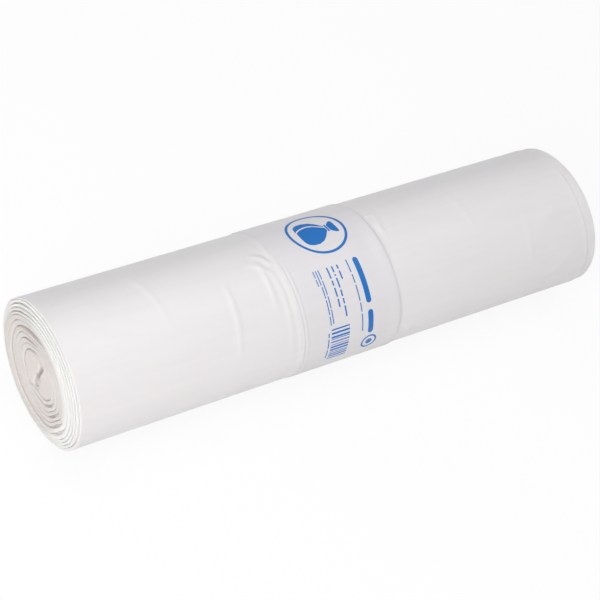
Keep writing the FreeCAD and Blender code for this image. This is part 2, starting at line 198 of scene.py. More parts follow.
# depths by recursion: underside(turn) = underside(turn - 1) + gap(turn - 1) + thickness(turn). A turn is
# pressed thinner at its bend, and under an opening by its share of the extra air
def windFilm():
    w = winding
    tight, loose = w["tightThickness"] + w["tightGap"], w["looseThickness"] + w["looseGap"]
    room = section["halfHeight"] - w["coreHeight"] / 2 - w["tailLip"]
    turns = w["tightTurns"] + (room - w["tightTurns"] * tight) / loose
    first = math.ceil(w["tightTurns"])
    last = math.floor(turns - (w["sag"][0] - w["tailDirection"]) / 360)
    openings = [(whole, w["fan"]) for whole in range(1, first)]
    openings += [(first + w["slackTurn"], w["slack"]), (last - w["sagTurn"], w["sag"])]
    openings += [(first + n, w["drop"]) for n in w["droppedTurns"]]
    openings += [(first + n, w["fold"]) for n in w["foldedTurns"]]
    step = w["stepsPerTurn"]
    turn = np.arange(int(turns * step) + 1) / step
    swell = np.zeros_like(turn)
    for whole, (direction, spread, height) in openings:
        swell += height * hump(turn, whole + (direction - w["tailDirection"]) / 360, spread / 360)
    pressed = np.zeros_like(turn)
    for n in range(1, w["pressedTurns"] + 1):
        pressed[n * step:] += swell[:-n * step] / w["pressedTurns"]
    looseness = loosenessAt(turn)
    around = (turn - (w["fold"][0] - w["tailDirection"]) / 360 + 0.5) % 1 - 0.5
    pressed += w["foldPinch"] * hump(around, 0, w["foldReach"] / 360) * looseness
    thickness = w["tightThickness"] + (w["looseThickness"] - w["tightThickness"]) * looseness - pressed
    gap = w["tightGap"] + (w["looseGap"] - w["tightGap"]) * looseness + swell
    underside = w["tailLip"] + turn * (thickness[step] + gap[0])
    for start in range(step, len(turn), step):
        stop = min(start + step, len(turn))
        underside[start:stop] = (underside + gap)[start - step:stop - step] + thickness[start:stop]
    return turn, underside, underside + gap


turnAt, undersideAt, upperAt = windFilm()
print("bin bag roll:", round(turnAt[-1], 2), "turns wound")


def windDirection(turn):
    return np.radians(winding["tailDirection"]) + 2 * np.pi * turn


# a place inside the section: an ellipse that shrinks by the depth d, (b - d) sin t up and (a - k d) cos t
# across, with k so that it ends at the middle's width and height
def windPlace(turn, depth):
    angle = windDirection(turn)
    narrowing = section["halfWidth"] - winding["coreWidth"] / 2
    squash = narrowing / (section["halfHeight"] - winding["coreHeight"] / 2)
    across = (section["halfWidth"] - depth * squash) * np.cos(angle)
    return np.stack([across, ovalMiddle + (section["halfHeight"] - depth) * np.sin(angle)], -1)


def outlinePlace(turn):
    # the place on the settled oval in the same direction
    angle = windDirection(turn)
    direction = np.arctan2(section["halfHeight"] * np.sin(angle), section["halfWidth"] * np.cos(angle))
    reach = ovalReach(direction)
    return np.stack([reach * np.cos(direction), ovalMiddle + reach * np.sin(direction)], -1), direction


# The two ends. Each film's edge stands back as the roll's end is domed, with a stagger of its own.
rollEnds = dict(
    nearSetback=2.6 * mm,
    nearSlope=7.4 * mm,
    nearEase=1.3,               # power by which the near setback eases in
    recessDepth=0.8 * mm,
    recessRing=9.0 * mm,
    recessSlope=2.4 * mm,
    farSetback=1.0 * mm,
    farSlope=1.6 * mm,
    farStep=5.2 * mm,
    stagger=0.35 * mm,
    staggerWaves=24,
    staggerTurns=6.0,           # length of the longest of them
)


# edge of a film at a depth: the end plane, less a share of the setback that eases in over the slope, and less
# the recess of the slack turns inside the firm ring
def nearEdge(depth, turn):
    r = rollEnds
    eased = np.clip(1 - depth / r["nearSlope"], 0, 1) ** r["nearEase"]
    recess = r["recessDepth"] * smoothStep(depth, r["recessRing"], r["recessRing"] + r["recessSlope"])
    stagger = r["stagger"] * raisedWaves(turn, 3, r["staggerWaves"], r["staggerTurns"])
    return rollLow.x + r["nearSetback"] * eased + recess + stagger


def farEdge(depth, turn):
    r = rollEnds
    eased = np.clip(1 - depth / r["farSlope"], 0, 1)
    stagger = r["stagger"] * raisedWaves(turn, 5, r["staggerWaves"], r["staggerTurns"])
    return rollHigh.x - r["farSetback"] * eased - stagger


# The edge of a film is rounded a little, and where turns are loose it parts between two plies.
filmEdge = dict(
    roundness=0.5,      # depth of the rounding as a share of half the film's thickness
    plyDepth=0.30,      # depth of the groove between two plies, in the same measure
    plyWidth=0.09,      # half width of the groove as a share of the thickness
    nearSamples=19,
    farSamples=7,
)


# bulge of a film's edge over a share s of its thickness: (1 - |2 s - 1|^3)^(1/2), less a groove at s = 1/2
def edgeBulge(share, groove):
    rounded = np.sqrt(1 - np.abs(2 * share - 1) ** 3)
    return rounded - groove * np.exp(-((share - 0.5) / filmEdge["plyWidth"]) ** 2)


# a wound strip of film as a closed tube: rows follow the turns, columns run along the outside from the near
# edge to the far one, round it, back along the inside and round the near edge
def filmStrip(outer, inner, near, far, alongOuter, alongInner, looseness):
    nearShare = (1 - np.cos(np.linspace(0, np.pi, filmEdge["nearSamples"]))) / 2
    farShare = (1 - np.cos(np.linspace(0, np.pi, filmEdge["farSamples"]))) / 2
    half = filmEdge["roundness"] * np.linalg.norm(inner - outer, axis=-1)[:, None] / 2
    groove = filmEdge["plyDepth"] * looseness[:, None]
    shares = np.concatenate([np.zeros(len(alongOuter)), farShare, np.ones(len(alongInner)), nearShare[::-1]])
    near, far = near[:, None] + half, far[:, None] - half
    outerX = near + (far - near) * alongOuter
    innerX = near + (far - near) * alongInner[::-1]
    farX = far + half * edgeBulge(farShare, 0)
    nearX = near - half * edgeBulge(nearShare[::-1], groove)
    return np.concatenate([outerX, farX, innerX, nearX], 1), shares


def shutEnds(values):
    # a row added at both ends, drawn together to its mean, so that the tube is shut
    ends = np.broadcast_to(values[[0, -1]].mean(1, keepdims=True), values[[0, -1]].shape)
    return np.concatenate([ends[:1], values, ends[1:]])


def addTube(name, x, y, z, run, material):
    # a film's tube as a piece, shut at both ends
    x, run = (np.concatenate([values[:1], values, values[-1:]]) for values in (x, run))
    points = np.stack([x, shutEnds(y), shutEnds(z)], -1).reshape(-1, 3)
    uv = np.stack([x, run], -1).reshape(-1, 2)
    return addPiece(name, points, gridFaces(*x.shape, closedColumns=True), material, uv)


def addNode(tree, kind, values=None, **settings):
    node = tree.nodes.new(kind)
    for key, value in settings.items():
        setattr(node, key, value)
    for key, value in (values or {}).items():
        node.inputs[key].default_value = value
    return node


# The surfaces. Sheen is the roughness, veil the share of light that enters the film, and reach how far the
# light gets in it, in millimetres.
looks = dict(
    milkyFilm=dict(colour=(0.80, 0.776, 0.79), sheen=0.35, veil=0.3, reach=1.5),
    filmEdges=dict(colour=(0.88, 0.858, 0.85), sheen=0.42, veil=0.6, reach=4.0),
    # colour of the slack turns and the middle: darker than the outer film as painted shade of the recess, and
    # a little warmer
    shadedCoreFilm=dict(colour=(0.71, 0.66, 0.64), sheen=0.45, veil=0.6, reach=4.0),
    bandFilm=dict(colour=(0.752, 0.735, 0.757), sheen=0.34, veil=0.05, reach=1.0),
    printInk=dict(colour=(0.010, 0.165, 0.53), sheen=0.36, veil=0.0, reach=1.0),
)
filmIndex = 1.5
filmReaches = (1.0, 0.9, 0.85)      # shares of the reach for red, green and blue light
filmGrain = dict(
    streakScale=(25, 260, 1),       # streaks per metre along the roll and round it
    streakShade=(0.965, 1.03),
    cloudScale=38.0,
    cloudRange=(0.3, 0.7),
    cloudGloss=(-0.05, 0.06),       # what the clouds add to the roughness
    cloudBump=(0.35, 0.25 * mm),    # strength and distance
    grainScale=1400.0,
    grainBump=(0.12, 0.03 * mm),
)


def makeFilmGrain():
    # drawn film: streaks along the roll, soft cloudy patches in gloss and a fine grain
    g = filmGrain
    tree = bpy.data.node_groups.new("filmGrain", "ShaderNodeTree")
    face = tree.interface
    face.new_socket("Run", in_out="INPUT", socket_type="NodeSocketVector")
    face.new_socket("Colour", in_out="INPUT", socket_type="NodeSocketColor")
    face.new_socket("Gloss", in_out="INPUT", socket_type="NodeSocketFloat")
    face.new_socket("Colour", in_out="OUTPUT", socket_type="NodeSocketColor")
    face.new_socket("Roughness", in_out="OUTPUT", socket_type="NodeSocketFloat")
    face.new_socket("Normal", in_out="OUTPUT", socket_type="NodeSocketVector")
    given = tree.nodes.new("NodeGroupInput")
    result = tree.nodes.new("NodeGroupOutput")
    stretch = addNode(tree, "ShaderNodeMapping", {"Scale": g["streakScale"]})
    streaks = addNode(tree, "ShaderNodeTexNoise", {"Scale": 1.0, "Detail": 4.0, "Roughness": 0.55})
    clouds = addNode(tree, "ShaderNodeTexNoise", {"Scale": g["cloudScale"], "Detail": 3.0, "Roughness": 0.5})
    grain = addNode(tree, "ShaderNodeTexNoise", {"Scale": g["grainScale"], "Detail": 2.0, "Roughness": 0.5})
    darkest, palest = g["streakShade"]
    shade = addNode(tree, "ShaderNodeMapRange", {"To Min": darkest, "To Max": palest})
    tint = addNode(tree, "ShaderNodeVectorMath", operation="SCALE")
    (low, high), (least, most) = g["cloudRange"], g["cloudGloss"]
    gloss = addNode(tree, "ShaderNodeMapRange", {"From Min": low, "From Max": high,
                                                 "To Min": least, "To Max": most})
    total = addNode(tree, "ShaderNodeMath", operation="ADD", use_clamp=True)
    wrinkle = addNode(tree, "ShaderNodeBump", {"Strength": g["cloudBump"][0], "Distance": g["cloudBump"][1]})
    fine = addNode(tree, "ShaderNodeBump", {"Strength": g["grainBump"][0], "Distance": g["grainBump"][1]})
    for start, end in (
        (given.outputs["Run"], stretch.inputs["Vector"]),
        (stretch.outputs["Vector"], streaks.inputs["Vector"]),
        (given.outputs["Run"], clouds.inputs["Vector"]),
        (given.outputs["Run"], grain.inputs["Vector"]),
        (streaks.outputs["Fac"], shade.inputs["Value"]),
        (given.outputs["Colour"], tint.inputs[0]),
        (shade.outputs["Result"], tint.inputs["Scale"]),
        (clouds.outputs["Fac"], gloss.inputs["Value"]),
        (given.outputs["Gloss"], total.inputs[0]),
        (gloss.outputs["Result"], total.inputs[1]),
        (clouds.outputs["Fac"], wrinkle.inputs["Height"]),
        (grain.outputs["Fac"], fine.inputs["Height"]),
        (wrinkle.outputs["Normal"], fine.inputs["Normal"]),
        (tint.outputs["Vector"], result.inputs["Colour"]),
        (total.outputs["Value"], result.inputs["Roughness"]),
        (fine.outputs["Normal"], result.inputs["Normal"]),
    ):
        tree.links.new(start, end)
    return tree


grainTree = makeFilmGrain()


def filmMaterial(name):
    # milky film: its colour, its roughness and its bump come from the shared group
    look = looks[name]
    material = bpy.data.materials.new(name)
    material.use_nodes = True
    nodes, links = material.node_tree.nodes, material.node_tree.links
    shader = nodes["Principled BSDF"]
    shader.inputs["IOR"].default_value = filmIndex
    shader.inputs["Subsurface Weight"].default_value = look["veil"]
    shader.inputs["Subsurface Radius"].default_value = filmReaches
    shader.inputs["Subsurface Scale"].default_value = look["reach"] * mm
    run = nodes.new("ShaderNodeUVMap")
    run.uv_map = "filmRun"
    grain = nodes.new("ShaderNodeGroup")
    grain.node_tree = grainTree
    grain.inputs["Colour"].default_value = (*look["colour"], 1)
    grain.inputs["Gloss"].default_value = look["sheen"]
    links.new(run.outputs["UV"], grain.inputs["Run"])
    links.new(grain.outputs["Colour"], shader.inputs["Base Color"])
    links.new(grain.outputs["Roughness"], shader.inputs["Roughness"])
    links.new(grain.outputs["Normal"], shader.inputs["Normal"])
    return material


milkyFilm = filmMaterial("milkyFilm")
filmEdges = filmMaterial("filmEdges")
shadedCoreFilm = filmMaterial("shadedCoreFilm")
bandFilm = filmMaterial("bandFilm")
printInk = filmMaterial("printInk")


# The slack turns inside the firm ring lie deeper. Their colour changes over with the run to a darker, warmer
# one, painted shade of the recess with a little warm tint. Towards the far end the firm turns take the outer
# film's colour.
turnShades = dict(
    toOuterFilm=(0.06, 0.12),       # places along the roll between which the colour changes
    toShadedCore=(4.0, 5.4),              # turns between which it does
    runPerTurn=0.15,                # run in the texture for each turn
    # the painted shade of the recess starts later in the turns where the firm ring is widest, and earlier
    # opposite it
    ringShift=2.2,                  # turns by which the change comes later where the firm ring is widest
    ringDirection=150,              # and the direction in which it is
)


def addChange(tree, value, low, high, after):
    # a colour that changes over to another one while the value runs from low to high
    share = addNode(tree, "ShaderNodeMapRange", {"From Min": low, "From Max": high})
    mix = addNode(tree, "ShaderNodeMix", data_type="RGBA")
    before, target = (socket for socket in mix.inputs if socket.type == "RGBA")
    target.default_value = (*after, 1)
    tree.links.new(value, share.inputs["Value"])
    tree.links.new(share.outputs["Result"], mix.inputs["Factor"])
    return before, next(socket for socket in mix.outputs if socket.type == "RGBA")


# the turns' colour: the outer film's towards the far end, and deeper in the painted shade of the recess
def shadeTurns():
    tree = filmEdges.node_tree
    grain = next(node for node in tree.nodes if node.type == "GROUP")
    run = next(node for node in tree.nodes if node.type == "UVMAP")
    parts = tree.nodes.new("ShaderNodeSeparateXYZ")
    tree.links.new(run.outputs["UV"], parts.inputs["Vector"])
    low, high = turnShades["toOuterFilm"]
    plain, along = addChange(tree, parts.outputs["X"], low, high, looks["milkyFilm"]["colour"])
    plain.default_value = (*looks["filmEdges"]["colour"], 1)
    low, high = (turns * turnShades["runPerTurn"] for turns in turnShades["toShadedCore"])
    firm, inwards = addChange(tree, parts.outputs["Y"], low, high, looks["shadedCoreFilm"]["colour"])
    tree.links.new(along, firm)
    tree.links.new(inwards, grain.inputs["Colour"])


shadeTurns()


# The outermost turn. Its creases and puckers are given by places along the roll and girthwise runs from the
# oval's top, in millimetres.
outerFilm = dict(
    turns=1.03,                     # it ends a little past one turn, tucked under its own start
    tuck=0.02 * mm,
    leastThickness=0.1 * mm,
    stepsPerTurn=288,
    columns=250,
    innerColumns=9,
    innerInset=0.02,                # share of the length by which the inner columns start and end later
    farWave=0.9 * mm,
    undulation=0.22 * mm,
    undulationSlant=0.15,
    undulationLength=0.11,
    undulationSink=0.6,             # share of the undulation by which the film lies lower on average
    swellLength=0.3,
    highest=0.55 * mm,
    edgeFade=4 * mm,                # the relief dies out towards the film's edges, its start and its end
    tailFade=(0, 0.02, 0.97, 1.0),
    # places from the band's near edge and from its far edge between which the relief dies out beneath it
    bandMargins=(-3 * mm, -0.6 * mm, -0.4 * mm, 0.3 * mm),
    bandRaise=2 * mm,               # the band lifts the film off the floor, over this length on either side
    shoulder=(-0.25 * mm, -1.2 * mm, 3 * mm),   # height, place and width of a dip at the band's near edge
    creaseFade=(-0.05, 0.25, 0.7, 1.05),
    creases=(
        # start x, start run, end x, end run, bend, width, height
        (-58, 2, -63, 45, 1.5, 1.1, 0.34),
        (-38, -4, -39, 27, 0.8, 0.9, 0.34),
        (-33, 6, -35, 48, 0.6, 0.9, 0.26),
        (-40, -6, -31, 5, 2.0, 0.9, 0.36),
        (-36, -8, -30, 1, 1.0, 0.8, -0.28),
        (-44, -2, -33, 9, 1.6, 0.9, 0.28),
        (26, -8, 33, -7, 1.5, 0.9, 0.35),
        (33, -7, 30, 6, -2.0, 1.0, 0.40),
        (27, 49, 33, 58, 1.0, 1.1, 0.35),
        (-96, -20, -90, 22, 1.5, 1.6, 0.18),
        (72, -12, 75, 20, 2.0, 1.5, 0.16),
        (108, 10, 104, 44, -2.0, 1.6, 0.16),
        (126, 14, 98, 27, 3.0, 3.2, 0.26),
        (133, 36, 106, 52, 3.0, 2.6, 0.26),
        (-128, 8, -92, 20, -3.0, 3.0, 0.22),
        (-112, 34, -70, 30, 3.0, 2.8, 0.20),
    ),
)


# height of a crease: a rounded ridge across the distance to a bowed line, fading towards both of its ends
def creaseHeight(x, run, crease):
    startX, startRun, endX, endRun, bend, width, height = (value * mm for value in crease)
    alongX, alongRun = endX - startX, endRun - startRun
    length = math.hypot(alongX, alongRun)
    share = ((x - startX) * alongX + (run - startRun) * alongRun) / length ** 2
    off = ((x - startX) * alongRun - (run - startRun) * alongX) / length - bend * 4 * share * (1 - share)
    return height * plateau(share, *outerFilm["creaseFade"]) * np.exp(-(off / width) ** 2)


# the outer film's relief: long shallow waves that swell and fade along the roll, and the creases
def filmRelief(x, run):
    film = outerFilm
    shallow = waves(run + film["undulationSlant"] * x, 11, 5, film["undulationLength"])
    shallow = shallow * raisedWaves(x, 12, 4, film["swellLength"]) - film["undulationSink"]
    lift = film["undulation"] * shallow
    for crease in film["creases"]:
        lift = lift + creaseHeight(x, run, crease)
    return np.minimum(lift, film["highest"])


# outermost turn: the oval itself, lifted or pressed in by the film's relief away from the band
def makeOuterFilm():
    film = outerFilm
    turn = np.linspace(0, film["turns"], int(film["turns"] * film["stepsPerTurn"]) + 1)
    depth = np.interp(turn, turnAt, undersideAt)
    buried = np.where(turn > 1, np.interp(turn - 1, turnAt, upperAt) + film["tuck"], 0)
    outer, direction = outlinePlace(turn)
    outer = np.where((turn > 1)[:, None], windPlace(turn, buried), outer)
    inner = windPlace(turn, np.maximum(depth, buried + film["leastThickness"]))
    alongOuter = np.linspace(0, 1, film["columns"])
    alongInner = np.linspace(film["innerInset"], 1 - film["innerInset"], film["innerColumns"])
    near = nearEdge(0 * turn, turn)
    far = rollHigh.x - rollEnds["farStep"] + film["farWave"] * waves(turn, 8, 9, 1.0)
    x, share = filmStrip(outer, inner, near, far, alongOuter, alongInner, 0 * turn)
    run = np.broadcast_to(runAt(direction)[:, None], x.shape)
    beforeNear, atNear, atFar, pastFar = film["bandMargins"]
    covered = plateau(x, band["near"] + beforeNear, band["near"] + atNear, band["far"] + atFar,
                      band["far"] + pastFar)
    dip, place, width = film["shoulder"]
    lift = (filmRelief(x, run) + dip * hump(x, band["near"] + place, width)) * (1 - covered)
    lift = lift * plateau(x, near[0], near[0] + film["edgeFade"], far[0] - film["edgeFade"], far[0])
    lift = lift * plateau(turn, *film["tailFade"])[:, None] * (1 - share)
    raised = band["thickness"] * plateau(x, band["near"] - film["bandRaise"], band["near"], band["far"],
                                         band["far"] + film["bandRaise"])
    y = outer[:, :1] + (inner - outer)[:, :1] * share + np.cos(direction)[:, None] * lift
    z = outer[:, 1:] + (inner - outer)[:, 1:] * share + np.sin(direction)[:, None] * lift
    piece = addTube("outerFilm", x, y, np.maximum(z, raised), run, milkyFilm)
    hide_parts("bag_roll")
    print("bin bag roll: outer film,", len(piece.data.polygons), "faces")


# The turns under it.
innerTurns = dict(
    along=(0, 0.004, 0.012, 0.05, 0.3, 0.7, 0.95, 0.978, 0.982, 0.986, 0.993, 1.0),
    alongInner=(0, 0.05, 0.95, 1.0),
    swollenTurns=(1.0, 1.04, 1.96, 2.0),    # past the outermost film's edge the next turn swells out
    swollenDepth=0.35 * mm,                 # until it is almost level with it
    swellLength=1.2 * mm,
)


# each inner turn is a film between the air above and the air below
def makeFilmTurns():
    keep = turnAt >= 1.0
    turn = turnAt[keep]
    outerDepth = np.interp(turn - 1, turnAt, upperAt)
    innerDepth = undersideAt[keep]
    outer, inner = windPlace(turn, outerDepth), windPlace(turn, innerDepth)
    flared = windPlace(turn, np.minimum(outerDepth, innerTurns["swollenDepth"]))
    near, far = nearEdge((outerDepth + innerDepth) / 2, turn), farEdge((outerDepth + innerDepth) / 2, turn)
    x, share = filmStrip(outer, inner, near, far, np.array(innerTurns["along"]),
                         np.array(innerTurns["alongInner"]), loosenessAt(turn))
    pastStep = rollHigh.x - rollEnds["farStep"]
    swollen = plateau(turn, *innerTurns["swollenTurns"])[:, None]
    swollen = swollen * smoothStep(x, pastStep - innerTurns["swellLength"], pastStep)
    outerY = outer[:, :1] + (flared - outer)[:, :1] * swollen
    outerZ = outer[:, 1:] + (flared - outer)[:, 1:] * swollen
    y = outerY + (inner[:, :1] - outerY) * share
    z = np.maximum(outerZ + (inner[:, 1:] - outerZ) * share, 0)
    # the texture run sets where the painted shade of the recess begins: later in the turns where the firm
    # ring is widest
    fromWidest = windDirection(turn) - np.radians(turnShades["ringDirection"])
    shadeTurn = turn - turnShades["ringShift"] * np.cos(fromWidest)
    run = np.broadcast_to((shadeTurn * turnShades["runPerTurn"])[:, None], x.shape)
    piece = addTube("filmTurns", x, y, z, run, filmEdges)
    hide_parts("bag_roll")
    print("bin bag roll: inner turns,", len(piece.data.polygons), "faces")


# Plies of the film that sag into the air between the turns, a little behind both ends.
plies = dict(
    inset=1.5 * mm,
    waviness=0.5 * mm,
    overlap=0.06 * mm,      # how far they reach into the turns that they hang between
    every=2,                # one row for this many steps of the winding
    along=(0, 0.01, 0.3, 0.7, 0.99, 1.0),
)


# the film between a turn's underside and the next turn's upper side, let a little into both
def makeSaggedPlies():
    turn, above, below = (values[::plies["every"]] for values in (turnAt, undersideAt, upperAt))
    outer, inner = windPlace(turn, above - plies["overlap"]), windPlace(turn, below + plies["overlap"])
    inset = plies["inset"] + plies["waviness"] * waves(turn, 51, 40, 3.0)
    near, far = nearEdge(above, turn) + inset, farEdge(above, turn) - inset
    along = np.array(plies["along"])
    x, share = filmStrip(outer, inner, near, far, along, along, 0 * turn)
    y = outer[:, :1] + (inner - outer)[:, :1] * share
    z = outer[:, 1:] + (inner - outer)[:, 1:] * share
    # the texture run darkens deeper plies like the turns, as painted shade of the recess
    run = np.broadcast_to((turn * turnShades["runPerTurn"])[:, None], x.shape)
    piece = addTube("saggedPlies", x, y, z, run, filmEdges)
    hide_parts("bag_roll")
    print("bin bag roll: sagged plies,", len(piece.data.polygons), "faces")


# The collapsed middle, with a slit across it that bends like an S.
core = dict(
    slitWidth=1.5 * mm,
    slitSpan=14.2 * mm,
    slitDirection=96,
    slitTurn=40,
    slitDepth=60 * mm,
    slitWidening=0.7,           # share by which it is wider at its ends
    slitWall=(0.75, 1.15),      # where its wall starts and ends, as shares of its half width
    lipDepth=0.5 * mm,          # how far the face rounds in towards the slit, and over what width
    lipWidth=0.5 * mm,
    layerDepth=0.07 * mm,       # shallow furrows that follow the slit
    layerWidth=0.95 * mm,
    # hollows along the slit: place across and up, depth and radius
    hollows=((-1.9 * mm, 6.2 * mm, 1.8 * mm, 1.3 * mm), (-0.9 * mm, -1.8 * mm, 1.8 * mm, 1.5 * mm),
             (-1.6 * mm, -6.3 * mm, 1.5 * mm, 1.2 * mm)),
    inset=0.3 * mm,
    collar=8 * mm,              # length of the part at each end that keeps close to the face
    rim=1.3 * mm,
    seamStart=0.93,             # share of the last turn from which its outline closes on its start
    rings=84,
    ringPower=0.9,
    spokes=360,
)


# distance from a point to the S: two arcs of radius span / (4 sin(turn / 2)) that meet at the centre
def slitDistance(y, z):
    turn = math.radians(core["slitTurn"])
    bend = core["slitSpan"] / (4 * math.sin(turn / 2))
    angle = math.radians(core["slitDirection"]) + turn / 2
    along = y * math.cos(angle) + z * math.sin(angle)
    across = y * math.sin(angle) - z * math.cos(angle)
    nearest = np.full_like(y, np.inf)
    share = np.zeros_like(y)
    for side in (1, -1):
        offAcross, offAlong = side * across - bend, side * along
        turned = np.clip(np.arctan2(offAlong, -offAcross), 0, turn)
        distance = np.hypot(offAcross + bend * np.cos(turned), offAlong - bend * np.sin(turned))
        closer = distance < nearest
        nearest = np.where(closer, distance, nearest)
        share = np.where(closer, turned / turn, share)
    return nearest, share


# depth of the middle's face: a rounded rim, the deep slit with its lips, furrows beside it and small hollows
def coreDepth(y, z, inwards):
    depth = core["rim"] * (1 - np.sqrt(1 - np.clip(1 - inwards / core["rim"], 0, 1) ** 2))
    distance, widening = slitDistance(y, z)
    half = core["slitWidth"] / 2 * (1 + core["slitWidening"] * widening)
    wallStart, wallEnd = core["slitWall"]
    sunk = core["slitDepth"] * (1 - smoothStep(distance, half * wallStart, half * wallEnd))
    lips = core["lipDepth"] * np.exp(-np.maximum(distance - half, 0) / core["lipWidth"])
    lips = np.where(sunk > 0, core["lipDepth"], lips)
    layers = core["layerDepth"] * (1 - np.cos(2 * np.pi * distance / core["layerWidth"]))
    for placeY, placeZ, hollow, radius in core["hollows"]:
        depth = depth + hollow * np.exp(-((y - placeY) ** 2 + (z - placeZ) ** 2) / radius ** 2)
    return depth + sunk + lips + layers


# a closed body of rings: out over the near face, along the roll and in over the far face
def makeCore():
    spokes = np.linspace(0, 1, core["spokes"], endpoint=False)
    lastTurn = turnAt[-1] - 1 + spokes
    seam = smoothStep(spokes, core["seamStart"], 1.0)
    depth = np.interp(lastTurn, turnAt, upperAt) * (1 - seam) + upperAt[-winding["stepsPerTurn"] - 1] * seam
    outline = windPlace(lastTurn, depth) - (0, ovalMiddle)
    shares = np.linspace(0, 1, core["rings"])[:, None] ** core["ringPower"]
    y, z = outline[:, 0] * shares, outline[:, 1] * shares
    pressed = coreDepth(y, z, np.hypot(outline[:, 0], outline[:, 1]) * (1 - shares))
    nearX = rollLow.x + rollEnds["recessDepth"] + core["inset"] + pressed
    farX = rollHigh.x - core["inset"] - pressed
    x = np.concatenate([nearX, nearX[-1:] + core["collar"], farX[-1:] - core["collar"], farX[::-1]])
    y = np.concatenate([y, y[-1:], y[-1:], y[::-1]])
    z = np.concatenate([z, z[-1:], z[-1:], z[::-1]]) + ovalMiddle
    faces = gridFaces(*x.shape, closedColumns=True, flip=True)
    uv = np.stack([y, z], -1).reshape(-1, 2)
    # the middle takes the darker, warmer core colour: painted shade of the recess with a little warm tint
    piece = addPiece("windingCore", np.stack([x, y, z], -1).reshape(-1, 3), faces, shadedCoreFilm, uv)
    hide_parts("bag_roll")
    print("bin bag roll: middle,", len(faces), "faces")


# The band: a strip of thin film wrapped once round the middle and glued to itself.
band = dict(
    near=bandLow.x,
    far=bandHigh.x,
    grow=0.05 * mm,             # ease between the roll and the band
    thickness=0.15 * mm,
    lapRun=11.0 * mm,
    lapDirection=-31,
    lapEase=0.5,                # half of the angle over which the lap's edge rises
    edgeWave=0.35 * mm,
    wave=0.10 * mm,
    waveSlant=0.3,
    waveStart=6 * mm,
    ridges=((0.7 * mm, 0.5 * mm, 0.24 * mm), (2.6 * mm, 0.6 * mm, 0.20 * mm)),  # place, width and height
    ridgeRuns=(-2 * mm, 12 * mm, 56 * mm, 70 * mm),     # where round the roll they stand out
    rise=0.36 * mm,             # a fold along the far edge: it rises slowly and falls off at the edge
    riseStart=2 * mm,
    riseWidth=10.0 * mm,
    riseRuns=(-25 * mm, -5 * mm, 54 * mm, 64 * mm),
    riseBehind=0.3,             # share of the rise that is left elsewhere
    fallWidth=1.4 * mm,
    steps=600,
    # columns: the ends of three stretches over the outside, with their counts, and those on the inside
    outside=((0, 0.09, 24), (0.11, 0.93, 28), (0.945, 1, 12)),
    inside=(1, 0.985, 0.96, 0.6, 0.3, 0.03, 0),
    sharpAngle=40,
)


# height of the band's own relief: shallow waves, two welded ridges along its near edge and a far edge that
# stands off a little
def bandRelief(x, run):
    fromNear = x - band["near"]
    toFar = band["far"] - x
    uneven = 0.75 + 0.25 * waves(run, 31, 7, 0.08)
    height = band["wave"] * raisedWaves(run + band["waveSlant"] * x, 33, 5, 0.09)
    height = height * smoothStep(fromNear, 0, band["waveStart"])
    for place, width, ridge in band["ridges"]:
        profile = np.exp(-((fromNear - place) / width) ** 2)
        height = height + ridge * plateau(run, *band["ridgeRuns"]) * uneven * profile
    rise = band["rise"] * (0.7 + 0.3 * waves(run, 35, 9, 0.12))
    rise = rise * plateau(toFar, 0, band["fallWidth"], band["riseStart"], band["riseWidth"])
    rise = rise * (band["riseBehind"] + (1 - band["riseBehind"]) * plateau(run, *band["riseRuns"]))
    return height + rise, rise


# the band follows the oval grown by its ease; its edges wave a little and its glued lap is a second layer
def makeBand():
    direction = np.linspace(0, 2 * np.pi, band["steps"], endpoint=False)
    run = runAt(direction)
    lapHalf = math.degrees(band["lapRun"] / (ovalSide + band["thickness"])) / 2
    off = np.abs(np.mod(np.degrees(direction) - band["lapDirection"] + 180, 360) - 180)
    lap = 1 - smoothStep(off, lapHalf - band["lapEase"], lapHalf + band["lapEase"])
    near = band["near"] + band["edgeWave"] * raisedWaves(direction, 21, 9, 2 * np.pi)
    far = band["far"] - band["edgeWave"] * raisedWaves(direction, 22, 11, 2 * np.pi)
    outside = np.concatenate([np.linspace(*stretch) for stretch in band["outside"]])
    share = np.concatenate([outside, band["inside"]])
    x = near[:, None] + (far - near)[:, None] * share
    runs = np.broadcast_to(run[:, None], x.shape)
    lift, rise = bandRelief(x, runs)
    outerReach = (ovalReach(direction, band["grow"] + band["thickness"]) + band["thickness"] * lap)[:, None]
    innerReach = ovalReach(direction, band["grow"], band["thickness"])[:, None]
    reach = np.where(np.arange(len(share)) < len(outside), outerReach + lift, innerReach + rise)
    y = reach * np.cos(direction)[:, None]
    z = np.maximum(ovalMiddle + reach * np.sin(direction)[:, None], 0)
    faces = gridFaces(*x.shape, closedRows=True, closedColumns=True)
    uv = np.stack([x, runs], -1).reshape(-1, 2)
    points = np.stack([x, y, z], -1).reshape(-1, 3)
    piece = addPiece("labelBand", points, faces, bandFilm, uv, band["sharpAngle"])
    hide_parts("label_band")
    print("bin bag roll: label band,", len(faces), "faces")


